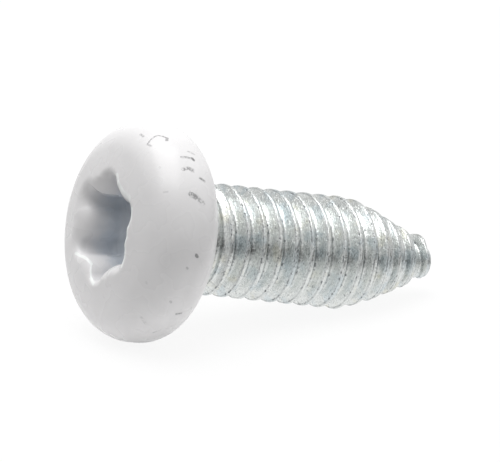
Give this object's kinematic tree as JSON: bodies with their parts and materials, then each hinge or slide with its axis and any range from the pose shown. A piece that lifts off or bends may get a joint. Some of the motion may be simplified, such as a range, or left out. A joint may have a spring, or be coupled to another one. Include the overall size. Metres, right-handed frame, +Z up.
{
  "type": "pan head screw",
  "caption": "Painted pan head screw with a six-lobe drive recess, a zinc-plated right-hand thread close under the head and a tapered blunt point.",
  "frame": {"origin": "middle of the footprint's bounding box, on the ground", "axes": "+Z up, +X the way the shank points while the screw lies on its side; the screw's own axis dips towards the point by the rest tilt"},
  "size_m": [0.0164, 0.0094, 0.0093],
  "materials": {
    "white_paint": "satin white powder paint over steel, on the head, with small chips",
    "zinc_plate": "bright zinc plating on the neck, thread and point, lightly worn"
  },
  "bodies": {
    "root": {"screw": "white_paint"}
  },
  "joints": []
}
